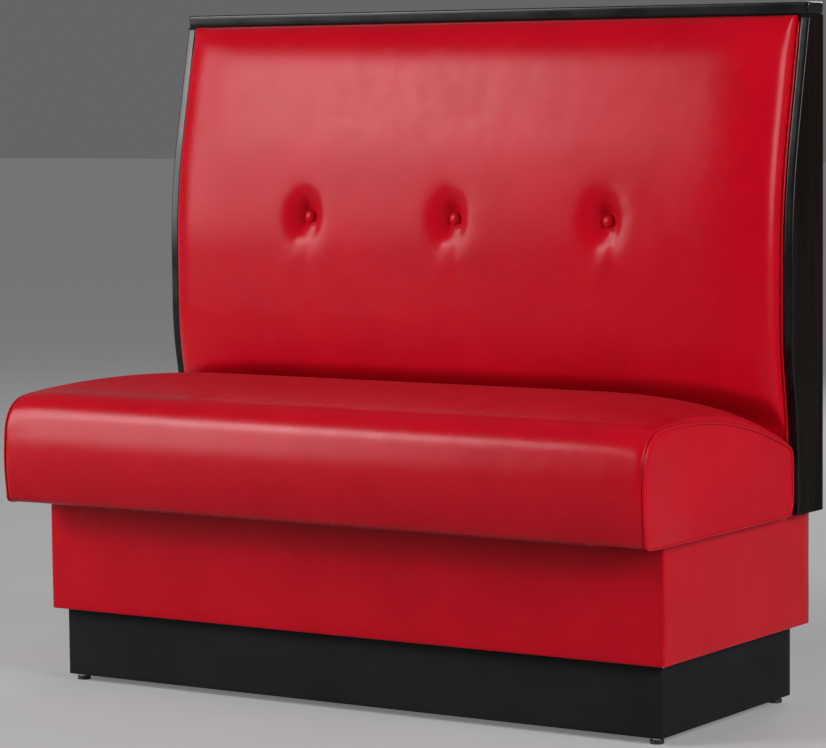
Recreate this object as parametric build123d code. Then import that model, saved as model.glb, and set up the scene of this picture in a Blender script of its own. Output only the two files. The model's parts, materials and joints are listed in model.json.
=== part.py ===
from build123d import *

import math
import os

# Single restaurant booth seat, in millimetres.
# +X is to the right as seen from the front, +Y is the rear, and +Z is up.
# The origin is on the floor, in the middle of the whole seat's footprint.
# A depth is measured forward from the rear plane, and a height in an outline from the seat base.

# Overall sizes
overall_width = 1168
overall_depth = 558
glide_gap = 10
plinth_height = 109
base_height = 178
panel_height = 756
cap_height = 19

# Boards and sheets
ply = 19
deck_ply = 12
bent_ply = 5
rear_sheet = 4
panel_board = 16
vinyl = 1.2
soft_gap = 0.3
overrun = 2

# Plinth
plinth_side_inset = 38.5
plinth_front_inset = 115
plinth_rear_inset = 35
plinth_board = 32
kick_skin = 1

# Levelling glides
glide_pad_radius = 10.5
glide_pad_height = 6
glide_pad_round = 1
stud_radius = 4
stud_length = 52
stud_hole_radius = 4.5
stud_hole_height = 62
stud_seat_height = 2
stud_tip_chamfer = 1
hex_flats = 13
hex_height = 3.6
running_gap = 0.05
tee_barrel_radius = 5.5
tee_barrel_height = 11
tee_flange_radius = 10
tee_flange_height = 1.6

# Base box
base_side_inset = 22.5
base_front_inset = 94
base_rear_inset = 3
shelf_depth = 96

# Seat frame
seat_rail_height = 45
seat_frame_side_inset = 24
seat_frame_front_inset = 34
seat_frame_rear_depth = 96

# Seat cushion, at its middle and at its end panels
seat_side_inset = 4
seat_middle_foot_inset = 14
seat_middle_front_height = 128
seat_crown_height = 198
seat_middle_rear_height = 150
seat_middle_rear_depth = 88
seat_end_foot_inset = 7
seat_end_bulge_inset = 1
seat_end_front_height = 112
seat_end_crown_height = 175
seat_end_rear_height = 112
seat_end_rear_depth = 88
seat_edge_draw = 7
seat_edge_width = 6
seat_foot_round = 9
seat_welt_radius = 2.4
seat_welt_opening = 6

# Places in the seat's cross-section, as shares of its length or height
seat_bulge_share = 0.64
seat_shoulder_share = 0.6
seat_top_front_share = 0.115
seat_end_fall_share = 0.05
seat_middle_fall_share = 0.3
seat_corner_depth_share = 0.8
seat_corner_height_share = 0.62
seat_end_level_share = 0.86
seat_roll_share = 0.045
seat_roll_depth_share = 0.25
seat_roll_height_share = 0.35

# Where the seat's cross-sections stand, and how the crown falls towards the ends
seat_station_shares = (0.6, 0.68, 0.77, 0.85, 0.92, 0.965, 1)
crown_flat_share = 0.6
crown_fall_power = 0.58
front_flat_share = 0.8

# Bowed front of the back
bow_foot_depth = 84
bow_front_depth = 103.5
bow_top_depth = 45
bow_knee_share = 0.183
bow_hip_share = 0.321
bow_shoulder_share = 0.634
bow_swell_share = 0.47
bow_round_share = 0.35

# Back cushion, which swells forward of the panels above the seat
pad_board_set = 25
pad_side_set = 4
pad_round_swell = 34
pad_middle_swell = 41
pad_round_width = 48
pad_end_round = 36
pad_tail_set = 2
pad_foot_gap = 3
pad_top_gap = 1
pad_seat_gap = 5
pad_bend_width_share = 0.71
pad_bend_set_share = 0.29
welt_radius = 2.5
welt_set = 4

# Tufts
tuft_spacing = 280
tuft_height = 440
tuft_radius = 46
tuft_depth = 17
tuft_floor_radius = 13
button_radius = 11.5
button_height = 6.5
button_rim = 1.5
tie_radius = 1.2
tie_hole_radius = 2
tie_washer_radius = 9
tie_washer_height = 2

# Edge moulding on the panels and the cap
edging = 3
edging_round = 2.6
stem_length = 9
stem_width = 1.8
kerf_gap = 0.2
cap_lip = 2
cap_corner = 6

# Fasteners
bolt_radius = 4
bolt_hole_radius = 4.5
bolt_edge = 13
bolt_rib_shares = (0.5, 2.5)
bolt_head_radius = 8
bolt_head_height = 4.5
nut_flats = 13
nut_height = 6.5
washer_radius = 9
washer_height = 1.6
plate_shares = (0.2, 0.75)
plate_width = 24
plate_height = 70
plate_thickness = 2.5
screw_radius = 2
screw_length = 15
screw_head_radius = 4
screw_head_height = 2

# Places worked out from the sizes above
rear_y = overall_depth / 2
half_width = overall_width / 2
plinth_top = glide_gap + plinth_height
seat_base = plinth_top + base_height
panel_top = seat_base + panel_height
panel_inner = half_width - panel_board
plinth_front_depth = overall_depth - plinth_front_inset
plinth_half = half_width - plinth_side_inset
base_front_depth = overall_depth - base_front_inset
base_outer_half = half_width - base_side_inset
base_half = base_outer_half - vinyl
base_board_front = base_front_depth - vinyl
seat_deck_low = seat_base + seat_rail_height
seat_deck_top = seat_deck_low + deck_ply
seat_half = half_width - seat_side_inset
seat_frame_front_depth = overall_depth - seat_frame_front_inset
frame_half = half_width - seat_frame_side_inset
seat_middle_foot_depth = overall_depth - seat_middle_foot_inset
seat_end_foot_depth = overall_depth - seat_end_foot_inset
seat_end_bulge_depth = overall_depth - seat_end_bulge_inset
front_board_set = pad_board_set + bent_ply
pad_half = panel_inner - soft_gap - welt_radius * 2 - soft_gap
shelf_front_depth = base_rear_inset + ply + shelf_depth
rail_top = seat_base + ply
top_rail_low = panel_top - ply
rib_half_spacing = (panel_inner - ply / 2) / 3
bolt_depth = base_rear_inset + ply + bolt_edge


def at_depth(depth):
    """The y of a place this far forward of the rear plane."""
    return rear_y - depth


def slab(x_low, x_high, depth_low, depth_high, z_low, z_high):
    """A board between six limits."""
    size = (x_high - x_low, depth_high - depth_low, z_high - z_low)
    centre = ((x_low + x_high) / 2, at_depth((depth_low + depth_high) / 2), (z_low + z_high) / 2)
    return Pos(*centre) * Box(*size)


def upright(x, depth, z_low, radius, height):
    """A vertical cylinder that stands on z_low."""
    return Pos(x, at_depth(depth), z_low + height / 2) * Cylinder(radius, height)


def hexagon(x, depth, z_low, flats, height):
    """A hexagon bar that stands on z_low."""
    outline = RegularPolygon(flats / 2, 6, major_radius=False)
    return Pos(x, at_depth(depth), z_low) * extrude(outline, height)


def joined(shapes):
    """Several separate solids as one group."""
    return Compound(children=[solid for shape in shapes for solid in shape.solids()])


def share_between(low, high, share):
    """A value that lies this share of the way from low to high."""
    return low + (high - low) * share


# Plinth and glides


def glide_places():
    """Name, x and depth of each levelling glide, centred in the boards' thickness."""
    inset = kick_skin + plinth_board / 2
    x = plinth_half - inset
    front = plinth_front_depth - inset
    rear = plinth_rear_inset + inset
    return (
        ("front_left", -x, front),
        ("front_right", x, front),
        ("rear_left", -x, rear),
        ("rear_right", x, rear),
    )


def stud_hole(x, depth):
    """Stepped hole for a tee nut, with blind room for the stud above it."""
    hole = upright(x, depth, glide_gap - overrun, tee_flange_radius, tee_flange_height + overrun)
    hole += upright(x, depth, glide_gap, tee_barrel_radius, tee_barrel_height)
    return hole + upright(x, depth, glide_gap, stud_hole_radius, stud_hole_height)


def plinth_boards():
    """Toe-kick frame: two long boards, two short ones between them, a centre rib and its skin."""
    half = plinth_half
    rib = plinth_board / 2
    side = half - kick_skin
    inner = side - plinth_board
    front = plinth_front_depth - kick_skin
    rear_inner = plinth_rear_inset + plinth_board
    front_inner = front - plinth_board
    front_board = slab(-side, side, front_inner, front, glide_gap, plinth_top)
    rear_board = slab(-side, side, plinth_rear_inset, rear_inner, glide_gap, plinth_top)
    for name, x, depth in glide_places():
        front_board -= stud_hole(x, depth)
        rear_board -= stud_hole(x, depth)
    skin = slab(-half, half, plinth_rear_inset, plinth_front_depth, glide_gap, plinth_top)
    skin -= slab(-side, side, plinth_rear_inset - overrun, front, glide_gap - overrun, plinth_top + overrun)
    return {
        "plinth_front_board": front_board,
        "plinth_rear_board": rear_board,
        "plinth_left_board": slab(-side, -inner, rear_inner, front_inner, glide_gap, plinth_top),
        "plinth_right_board": slab(inner, side, rear_inner, front_inner, glide_gap, plinth_top),
        "plinth_centre_rib": slab(-rib, rib, rear_inner, front_inner, glide_gap, plinth_top),
        "plinth_kick_skin": skin,
    }


def tee_nut(x, depth):
    """Flanged insert, flush with the bottom of its board."""
    nut = upright(x, depth, glide_gap, tee_flange_radius, tee_flange_height)
    nut += upright(x, depth, glide_gap, tee_barrel_radius, tee_barrel_height)
    through = tee_barrel_height + 2 * overrun
    return nut - upright(x, depth, glide_gap - overrun, stud_radius + running_gap, through)


def glide_pad(x, depth):
    """Round foot with a blind socket for the end of the stud."""
    pad = upright(x, depth, 0, glide_pad_radius, glide_pad_height)
    pad = fillet(pad.edges().filter_by(GeomType.CIRCLE), glide_pad_round)
    socket_height = glide_pad_height - stud_seat_height + overrun
    return pad - upright(x, depth, stud_seat_height, stud_radius + running_gap, socket_height)


def glide_stud(x, depth):
    """Screw stud with the hexagon collar that a spanner turns."""
    stud = upright(x, depth, stud_seat_height + running_gap, stud_radius, stud_length)
    stud = chamfer(stud.edges().sort_by(Axis.Z)[-1], stud_tip_chamfer)
    return stud + hexagon(x, depth, glide_pad_height + running_gap, hex_flats, hex_height)


def plinth():
    """Everything below the base box."""
    nodes = plinth_boards()
    places = glide_places()
    nodes["glide_tee_nuts"] = joined([tee_nut(x, depth) for name, x, depth in places])
    for name, x, depth in places:
        nodes["glide_pad_" + name] = glide_pad(x, depth)
        nodes["glide_stud_" + name] = glide_stud(x, depth)
    return nodes


# Base box


def back_bolt_places():
    """Where the bolts that hold the back down stand, one near each rib."""
    return [side * share * rib_half_spacing for side in (-1, 1) for share in bolt_rib_shares]


def base_box():
    """Plywood box under the seat, with a shelf for the back and a vinyl wrap."""
    rear_inner = base_rear_inset + ply
    front_inner = base_board_front - ply
    inner = base_half - ply
    shelf = slab(-inner, inner, rear_inner, shelf_front_depth, seat_base - ply, seat_base)
    for x in back_bolt_places():
        shelf -= upright(x, bolt_depth, seat_base - ply - overrun, bolt_hole_radius, ply + 2 * overrun)
    left = slab(-base_half, -inner, base_rear_inset, base_board_front, plinth_top, seat_base)
    right = slab(inner, base_half, base_rear_inset, base_board_front, plinth_top, seat_base)
    half = base_outer_half
    wrap = slab(-half, half, base_rear_inset, base_front_depth, plinth_top, seat_base)
    low = plinth_top - overrun
    high = seat_base + overrun
    wrap -= slab(-base_half, base_half, base_rear_inset - overrun, base_board_front, low, high)
    return {
        "base_left_board": drilled(left, screw_radius),
        "base_right_board": drilled(right, screw_radius),
        "base_front_board": slab(-inner, inner, front_inner, base_board_front, plinth_top, seat_base),
        "base_rear_board": slab(-inner, inner, base_rear_inset, rear_inner, plinth_top, seat_base),
        "base_floor_board": slab(-inner, inner, rear_inner, front_inner, plinth_top, plinth_top + ply),
        "base_rear_shelf": shelf,
        "base_cover": wrap,
    }


# Seat


def seat_frame():
    """Rails under the seat, and the deck that the foam lies on."""
    front = seat_frame_front_depth
    rear = seat_frame_rear_depth
    inner = frame_half - ply
    low = seat_base
    high = seat_deck_low
    left = slab(-frame_half, -inner, rear + ply, front - ply, low, high)
    right = slab(inner, frame_half, rear + ply, front - ply, low, high)
    return {
        "seat_front_rail": slab(-frame_half, frame_half, front - ply, front, low, high),
        "seat_rear_rail": slab(-frame_half, frame_half, rear, rear + ply, low, high),
        "seat_left_rail": drilled(left, screw_radius),
        "seat_right_rail": drilled(right, screw_radius),
        "seat_centre_rail": slab(-ply / 2, ply / 2, rear + ply, front - ply, low, high),
        "seat_deck_board": slab(-frame_half, frame_half, rear, front, high, seat_deck_top),
    }


def crown_weight(share, flat_share, power):
    """One in the middle of the seat, falling to nothing at its end."""
    if share <= flat_share:
        return 1
    fall = (share - flat_share) / (1 - flat_share)
    return max(1 - fall * fall, 0) ** power


def seat_edges(x, top_weight, front_weight, inset, draw=0):
    """The edges of one cross-section of the seat, drawn in by inset and draw."""
    drawn = inset + draw
    foot = drawn
    foot_depth = share_between(seat_end_foot_depth, seat_middle_foot_depth, front_weight) - drawn
    bulge_depth = share_between(seat_end_bulge_depth, overall_depth, front_weight) - drawn
    rear_depth = share_between(seat_end_rear_depth, seat_middle_rear_depth, top_weight) + drawn
    front_height = share_between(seat_end_front_height, seat_middle_front_height, front_weight) - drawn
    crown = share_between(seat_end_crown_height, seat_crown_height, top_weight) - drawn
    rear_height = share_between(seat_end_rear_height, seat_middle_rear_height, top_weight) - drawn
    length = foot_depth - rear_depth
    # Depths and heights of the points that the arcs run through
    round_in = seat_foot_round * (1 - math.sqrt(0.5))
    shoulder_depth = share_between(foot_depth, bulge_depth, seat_shoulder_share)
    top_front_depth = foot_depth - seat_top_front_share * length
    fall = share_between(seat_end_fall_share, seat_middle_fall_share, top_weight)
    top_front_height = crown - fall * (crown - front_height)
    corner_depth = share_between(top_front_depth, shoulder_depth, seat_corner_depth_share)
    corner_height = share_between(front_height, top_front_height, seat_corner_height_share)
    level = share_between(seat_end_level_share, 1, top_weight)
    roll = seat_roll_share * length
    places = (
        (rear_depth, foot),
        (foot_depth - seat_foot_round, foot),
        (foot_depth - round_in, foot + round_in),
        (foot_depth, foot + seat_foot_round),
        (bulge_depth, share_between(foot, front_height, seat_bulge_share)),
        (shoulder_depth, front_height),
        (corner_depth, corner_height),
        (top_front_depth, top_front_height),
        ((rear_depth + foot_depth) / 2, share_between(rear_height, crown, level)),
        (rear_depth + roll, rear_height),
        (rear_depth + seat_roll_depth_share * roll, rear_height - seat_roll_height_share * roll),
        (rear_depth, rear_height - roll),
    )
    points = [Vector(x, at_depth(depth), seat_base + height) for depth, height in places]
    arcs = [ThreePointArc(*points[start : start + 3]) for start in range(1, len(points) - 2, 2)]
    return [Line(points[0], points[1])] + arcs + [Line(points[-1], points[0])]


def seat_section(side, share, inset):
    """The seat's cross-section at this share of the way from its middle to its end."""
    top = crown_weight(share, crown_flat_share, crown_fall_power)
    front = crown_weight(share, front_flat_share, crown_fall_power)
    x = side * share * (seat_half - seat_edge_width - inset)
    return Face(Wire(seat_edges(x, top, front, inset)))


def seat_form(inset):
    """The seat's outer form, drawn in by inset on all sides."""
    first = seat_station_shares[0]
    form = loft([seat_section(-1, first, inset), seat_section(1, first, inset)], ruled=True)
    for side in (-1, 1):
        form += loft([seat_section(side, share, inset) for share in seat_station_shares])
        edge = seat_section(side, seat_station_shares[-1], inset)
        end = Face(Wire(seat_edges(side * (seat_half - inset), 0, 0, inset, seat_edge_draw)))
        form += loft([edge, end], ruled=True)
    return form


def seat_welt(side):
    """Covered cord laid against the bevel round an end of the seat, open at its rear foot."""
    bevel = math.hypot(seat_edge_width, seat_edge_draw)
    lift = seat_welt_radius + soft_gap
    x = seat_half - seat_edge_width / 2 + lift * seat_edge_draw / bevel
    draw = seat_edge_draw / 2 - lift * seat_edge_width / bevel
    edges = seat_edges(side * x, 0, 0, 0, draw)
    start = edges[0] @ 0 + Vector(0, -seat_welt_opening, 0)
    path = Wire([Line(start, edges[0] @ 1)] + edges[1:])
    return sweep(Plane(origin=start, z_dir=path % 0) * Circle(seat_welt_radius), path=path)


def seat():
    """Frame, foam, cover and welts of the seat."""
    nodes = seat_frame()
    rear = seat_frame_rear_depth
    room = slab(-frame_half, frame_half, rear, seat_frame_front_depth, seat_base - overrun, seat_deck_top)
    nodes["seat_cover"] = seat_form(0) - seat_form(vinyl) - room
    nodes["seat_foam"] = seat_form(vinyl + soft_gap) - room
    nodes["seat_welt_left"] = seat_welt(-1)
    nodes["seat_welt_right"] = seat_welt(1)
    return nodes


# Back


def bow_slope():
    """How far the bow's straight top leans back for each unit of height."""
    return (bow_front_depth - bow_top_depth) / ((1 - bow_shoulder_share) * panel_height)


def bow_line(z_low):
    """The bowed front edge of the panels, from z_low up to just above their top."""
    knee = seat_base + bow_knee_share * panel_height
    hip = seat_base + bow_hip_share * panel_height
    shoulder = seat_base + bow_shoulder_share * panel_height
    places = (
        (bow_foot_depth, z_low),
        (bow_foot_depth, knee),
        (bow_front_depth, hip),
        (bow_front_depth, shoulder),
        (bow_top_depth - bow_slope() * overrun, panel_top + overrun),
    )
    swell = bow_front_depth - bow_foot_depth
    swell_turn = math.atan2(swell, hip - knee)
    swell_radius = bow_swell_share * math.hypot(swell, hip - knee) / math.tan(swell_turn / 2)
    points = [(0, at_depth(depth), z) for depth, z in places]
    return FilletPolyline(*points, radius=[swell_radius, swell_radius, bow_round_radius()])


def bow_round_radius():
    """Radius of the bend where the bow starts to lean back."""
    reach = bow_round_share * (1 - bow_shoulder_share) * panel_height
    return reach / math.tan(math.atan(bow_slope()) / 2)


def bow_strip(x_middle, width, near_set, far_set, z_low, z_high, corner=0):
    """A rectangle swept up the bow between two setbacks, cut level at both ends."""
    start = seat_base - overrun
    path = Pos(x_middle, 0, 0) * bow_line(start)
    near = at_depth(bow_foot_depth - near_set)
    far = at_depth(bow_foot_depth - far_set)
    low = x_middle - width / 2
    high = x_middle + width / 2
    outline = Polyline((low, far), (high, far), (high, near), (low, near), close=True)
    section = Pos(0, 0, start) * make_face(outline)
    if corner > 0:
        section = fillet(section.vertices().sort_by(Axis.Y)[:2], corner)
    strip = sweep(section, path=path)
    return strip & slab(low - overrun, high + overrun, -overrun, overall_depth, z_low, z_high)


def bow_board(rear_depth, z_low, z_high, x_low, x_high):
    """A board with a straight rear edge, and the bow for its front edge."""
    bottom = seat_base - overrun
    top = panel_top + overrun
    front = bow_line(bottom)
    rear_low = (0, at_depth(rear_depth), bottom)
    rear_high = (0, at_depth(rear_depth), top)
    sides = [Line(front @ 1, rear_high), Line(rear_high, rear_low), Line(rear_low, front @ 0)]
    outline = Wire(front.edges() + sides)
    board = Pos(x_low, 0, 0) * extrude(Face(outline), amount=x_high - x_low, dir=(1, 0, 0))
    reach = overall_depth + overrun
    return board & slab(x_low - overrun, x_high + overrun, -reach, reach, z_low, z_high)


def tuft_places():
    """The x of each button, with its name."""
    return (("left", -tuft_spacing), ("middle", 0), ("right", tuft_spacing))


def tuft_place(x):
    """A place on the bow at the buttons' height, whose -Y axis points straight out of it."""
    radius = bow_round_radius()
    bend_low = (bow_shoulder_share - bow_round_share * (1 - bow_shoulder_share)) * panel_height
    rise = max(tuft_height - bend_low, 0)
    lean = math.asin(min(rise / radius, 1))
    depth = bow_front_depth - radius * (1 - math.cos(lean))
    return Pos(x, at_depth(depth), seat_base + tuft_height) * Rot(-math.degrees(lean), 0, 0)


def pad_section(inset, rear_set):
    """The back cushion's level cross-section at the foot of its swell."""
    half = pad_half - inset
    z = seat_base + pad_foot_gap
    round_x = half - pad_round_width
    side_set = pad_side_set + inset
    round_set = inset - pad_round_swell
    middle_set = inset - pad_middle_swell
    bend_x = share_between(round_x, half, pad_bend_width_share)
    bend_set = share_between(round_set, side_set, pad_bend_set_share)

    def place(x, setback):
        return Vector(x, at_depth(bow_foot_depth - setback), z)

    edges = [
        Line(place(-half, rear_set), place(-half, side_set)),
        ThreePointArc(place(-half, side_set), place(-bend_x, bend_set), place(-round_x, round_set)),
        ThreePointArc(place(-round_x, round_set), place(0, middle_set), place(round_x, round_set)),
        ThreePointArc(place(round_x, round_set), place(bend_x, bend_set), place(half, side_set)),
        Line(place(half, side_set), place(half, rear_set)),
        Line(place(half, rear_set), place(-half, rear_set)),
    ]
    return Face(Wire(edges))


def pad_form(inset, rear_set):
    """The back cushion swept up the bow: a flat tail behind the seat, and a swell above it."""
    z_foot = seat_base + pad_foot_gap
    z_low = seat_base + seat_middle_rear_height + pad_seat_gap + inset
    z_high = panel_top - pad_top_gap - inset
    form = sweep(pad_section(inset, rear_set), path=bow_line(z_foot))
    reach = pad_half + overrun
    front_set = inset - pad_middle_swell - overrun
    outline = Pos(0, front_set, 0) * bow_board(-overall_depth, z_low, z_high, -reach, reach)
    ends = outline.edges().filter_by(Axis.X).group_by(Axis.Z)
    rolls = [ends[0].sort_by(Axis.Y)[0], ends[-1].sort_by(Axis.Y)[0]]
    form &= fillet(rolls, pad_end_round)
    for name, x in tuft_places():
        form -= tuft_place(x) * tuft_hollow(inset)
    width = 2 * (pad_half - inset)
    return form + bow_strip(0, width, pad_tail_set + inset, rear_set, z_foot, z_low + pad_end_round)


def tuft_hollow(inset):
    """The round hollow that a button pulls into the cushion."""
    width = tuft_radius - tuft_floor_radius
    radius = (width * width + tuft_depth * tuft_depth) / (2 * tuft_depth)
    half_turn = math.asin(width / radius) / 2
    on_arc = (tuft_radius - radius * math.sin(half_turn), radius * (1 - math.cos(half_turn)))
    outline = Polyline(
        (tuft_radius, 0),
        (tuft_radius, -tuft_depth),
        (0, -tuft_depth),
        (0, tuft_depth),
        (tuft_floor_radius, tuft_depth),
    )
    curve = ThreePointArc((tuft_floor_radius, tuft_depth), on_arc, (tuft_radius, 0))
    hollow = revolve(Face(Wire(outline.edges() + curve.edges())), Axis.Y)
    return Pos(0, inset - pad_middle_swell, 0) * hollow


def along_axis(y_low, y_high, radius):
    """A cylinder along Y between two setbacks."""
    return Pos(0, (y_low + y_high) / 2, 0) * Rot(90, 0, 0) * Cylinder(radius, y_high - y_low)


def button_rear_set():
    """Setback of the flat back of a button."""
    return tuft_depth - pad_middle_swell - soft_gap


def back_button():
    """Covered button: a low dome with a flat back."""
    rise = button_height - button_rim
    ball = (button_radius * button_radius + rise * rise) / (2 * rise)
    half_turn = math.asin(button_radius / ball) / 2
    on_dome = (ball * math.sin(half_turn), ball * (1 - math.cos(half_turn)) - button_height)
    outline = Polyline((0, -button_height), (0, 0), (button_radius, 0), (button_radius, -button_rim))
    dome = ThreePointArc((button_radius, -button_rim), on_dome, (0, -button_height))
    button = revolve(Face(Wire(outline.edges() + dome.edges())), Axis.Y)
    return Pos(0, button_rear_set(), 0) * button


def button_tie():
    """Twine from a button to a washer behind the bent board."""
    washer_set = front_board_set + soft_gap
    tie = along_axis(button_rear_set(), washer_set, tie_radius)
    return tie + along_axis(washer_set, washer_set + tie_washer_height, tie_washer_radius)


def back_welt(side):
    """Covered cord in the groove between the cushion and an end panel."""
    x = side * (panel_inner - soft_gap - welt_radius)
    z_low = seat_base + pad_foot_gap
    z_high = panel_top - pad_top_gap
    path = Pos(x, 0, 0) * bow_line(z_low)
    centre = Vector(x, at_depth(bow_foot_depth - welt_set), z_low)
    welt = sweep(Plane(origin=centre, z_dir=path % 0) * Circle(welt_radius), path=path)
    return welt & slab(x - 2 * welt_radius, x + 2 * welt_radius, 0, overall_depth, z_low, z_high)


def back_frame():
    """Ribs, rails and sheets that carry the back cushion."""
    nodes = {}
    ribs = (
        ("back_rib_left", ply / 2 - panel_inner),
        ("back_rib_inner_left", -rib_half_spacing),
        ("back_rib_inner_right", rib_half_spacing),
        ("back_rib_right", panel_inner - ply / 2),
    )
    for name, x in ribs:
        rib = bow_board(rear_sheet, rail_top, top_rail_low, x - ply / 2, x + ply / 2)
        nodes[name] = rib - bow_strip(x, ply + overrun, -overrun, front_board_set, rail_top, top_rail_low)
    rail_front = bow_foot_depth - front_board_set
    bottom_rail = slab(-panel_inner, panel_inner, rear_sheet, rail_front, seat_base, rail_top)
    for x in back_bolt_places():
        bottom_rail -= upright(x, bolt_depth, seat_base, bolt_hole_radius, ply)
    nodes["back_bottom_rail"] = bottom_rail
    top_rail = bow_board(rear_sheet, top_rail_low, panel_top, -panel_inner, panel_inner)
    nodes["back_top_rail"] = top_rail - bow_strip(
        0, overall_width, -overrun, front_board_set, top_rail_low, panel_top
    )
    nodes["back_rear_sheet"] = slab(-panel_inner, panel_inner, 0, rear_sheet, seat_base, panel_top)
    board_width = 2 * (pad_half - vinyl - soft_gap)
    board_low = seat_base + pad_foot_gap
    board = bow_strip(0, board_width, pad_board_set, front_board_set, board_low, panel_top - pad_top_gap)
    for name, x in tuft_places():
        board -= tuft_place(x) * along_axis(-pad_middle_swell, front_board_set + overrun, tie_hole_radius)
    nodes["back_bent_board"] = board
    return nodes


def back():
    """Frame, foam, cover, buttons and welts of the back."""
    nodes = back_frame()
    cover = pad_form(0, front_board_set) - pad_form(vinyl, front_board_set + overrun)
    foam = pad_form(vinyl + soft_gap, pad_board_set)
    for name, x in tuft_places():
        hole = tuft_place(x) * along_axis(-pad_middle_swell, front_board_set + overrun, tie_hole_radius)
        cover -= hole
        foam -= hole
        nodes["back_button_" + name] = tuft_place(x) * back_button()
    nodes["back_cover"] = cover
    nodes["back_foam"] = foam
    nodes["back_button_ties"] = joined([tuft_place(x) * button_tie() for name, x in tuft_places()])
    nodes["back_welt_left"] = back_welt(-1)
    nodes["back_welt_right"] = back_welt(1)
    return nodes


# End panels and cap


def end_panel(side):
    """Laminated end board, trimmed for its moulding and kerfed along its bowed edge."""
    x_middle = side * (half_width - panel_board / 2)
    x_low = x_middle - panel_board / 2
    board = bow_board(0, seat_base, panel_top, x_low, x_low + panel_board)
    board -= bow_strip(x_middle, panel_board + overrun, -overrun, edging, seat_base, panel_top)
    kerf_width = stem_width + 2 * kerf_gap
    kerf_floor = edging + stem_length + kerf_gap
    return board - bow_strip(x_middle, kerf_width, edging - overrun, kerf_floor, seat_base, panel_top)


def panel_edging(side):
    """Tee-shaped moulding pressed into the kerf of an end panel."""
    x_middle = side * (half_width - panel_board / 2)
    strip = bow_strip(x_middle, panel_board, 0, edging, seat_base, panel_top, edging_round)
    stem_root = edging - edging_round / 2
    return strip + bow_strip(x_middle, stem_width, stem_root, edging + stem_length, seat_base, panel_top)


def cap_bars(height, near_set, far_set, corner_gap):
    """One bar along the cap's front and one along each end, between two setbacks."""
    depth = bow_top_depth + cap_lip
    low = panel_top + (cap_height - height) / 2
    high = low + height
    half = half_width - corner_gap
    bars = slab(-half, half, depth - far_set, depth - near_set, low, high)
    for side in (-1, 1):
        ends = sorted((side * (half_width - far_set), side * (half_width - near_set)))
        bars += slab(ends[0], ends[1], 0, depth - corner_gap, low, high)
    return bars


def top_cap():
    """Cap board with a kerf along its front and ends."""
    depth = bow_top_depth + cap_lip
    half = half_width - edging
    board = slab(-half, half, 0, depth - edging, panel_top, panel_top + cap_height)
    board = fillet(board.edges().filter_by(Axis.Z).group_by(Axis.Y)[0], cap_corner - edging)
    kerf_floor = edging + stem_length + kerf_gap
    return board - cap_bars(stem_width + 2 * kerf_gap, edging - kerf_gap, kerf_floor, edging - kerf_gap)


def cap_edging():
    """Tee-shaped moulding round the cap's front and ends, its stem notched at the corners."""
    front_y = at_depth(bow_top_depth + cap_lip)
    corners = [(-half_width, rear_y), (-half_width, front_y), (half_width, front_y), (half_width, rear_y)]
    path = FilletPolyline(*[(x, y, panel_top) for x, y in corners], radius=cap_corner)
    outline = Polyline(
        (-half_width, rear_y, panel_top),
        (-half_width, rear_y, panel_top + cap_height),
        (edging - half_width, rear_y, panel_top + cap_height),
        (edging - half_width, rear_y, panel_top),
        close=True,
    )
    section = Face(outline)
    section = section.fillet_2d(edging_round, section.vertices().sort_by(Axis.X)[:2])
    notch = edging + stem_length + stem_width
    return sweep(section, path=path) + cap_bars(stem_width, edging - kerf_gap, edging + stem_length, notch)


# Fasteners


def back_bolt(x):
    """Bolt that holds the back's bottom rail down to the shelf."""
    head = upright(x, bolt_depth, rail_top + washer_height, bolt_head_radius, bolt_head_height)
    length = 2 * ply + 2 * washer_height + nut_height
    return head + upright(x, bolt_depth, rail_top + washer_height - length, bolt_radius, length)


def bolt_washers_and_nut(x):
    """Washers above and below the two boards, and the nut."""
    under = seat_base - ply - washer_height
    stack = []
    for z in (rail_top, under):
        washer = upright(x, bolt_depth, z, washer_radius, washer_height)
        stack.append(washer - upright(x, bolt_depth, z, bolt_radius + running_gap, washer_height))
    nut = hexagon(x, bolt_depth, under - nut_height, nut_flats, nut_height)
    stack.append(nut - upright(x, bolt_depth, under - nut_height, bolt_radius + running_gap, nut_height))
    return stack


def plate_places():
    """Side and depth of each plate that ties the seat to the base box."""
    span = base_board_front - shelf_front_depth
    return [(side, shelf_front_depth + share * span) for side in (-1, 1) for share in plate_shares]


def screw_frames():
    """Where each plate screw stands: on its plate, with Z pointing out through the boards."""
    x = min(frame_half, base_half) - ply - plate_thickness
    frames = []
    for side, depth in plate_places():
        for z in (seat_base - plate_height / 4, seat_base + plate_height / 4):
            frames.append(Pos(side * x, at_depth(depth), z) * Rot(0, side * 90, 0))
    return frames


def drilled(board, radius):
    """A board with a hole for each plate screw."""
    for frame in screw_frames():
        board -= frame * Cylinder(radius, 2 * screw_length)
    return board


def plate_screw():
    """Round-headed screw whose head lies on its plate."""
    shank = Pos(0, 0, screw_length / 2) * Cylinder(screw_radius, screw_length)
    return shank + Pos(0, 0, -screw_head_height / 2) * Cylinder(screw_head_radius, screw_head_height)


def fasteners():
    """Bolts, nuts, plates and screws."""
    outer = min(frame_half, base_half) - ply
    low = seat_base - plate_height / 2
    plates = []
    for side, depth in plate_places():
        ends = sorted((side * outer, side * (outer - plate_thickness)))
        half = plate_width / 2
        plate = slab(ends[0], ends[1], depth - half, depth + half, low, low + plate_height)
        plates.append(drilled(plate, screw_radius + running_gap))
    nuts = []
    for x in back_bolt_places():
        nuts += bolt_washers_and_nut(x)
    return {
        "back_bolts": joined([back_bolt(x) for x in back_bolt_places()]),
        "back_bolt_nuts_and_washers": joined(nuts),
        "seat_fixing_plates": joined(plates),
        "seat_fixing_screws": joined([frame * plate_screw() for frame in screw_frames()]),
    }


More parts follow.
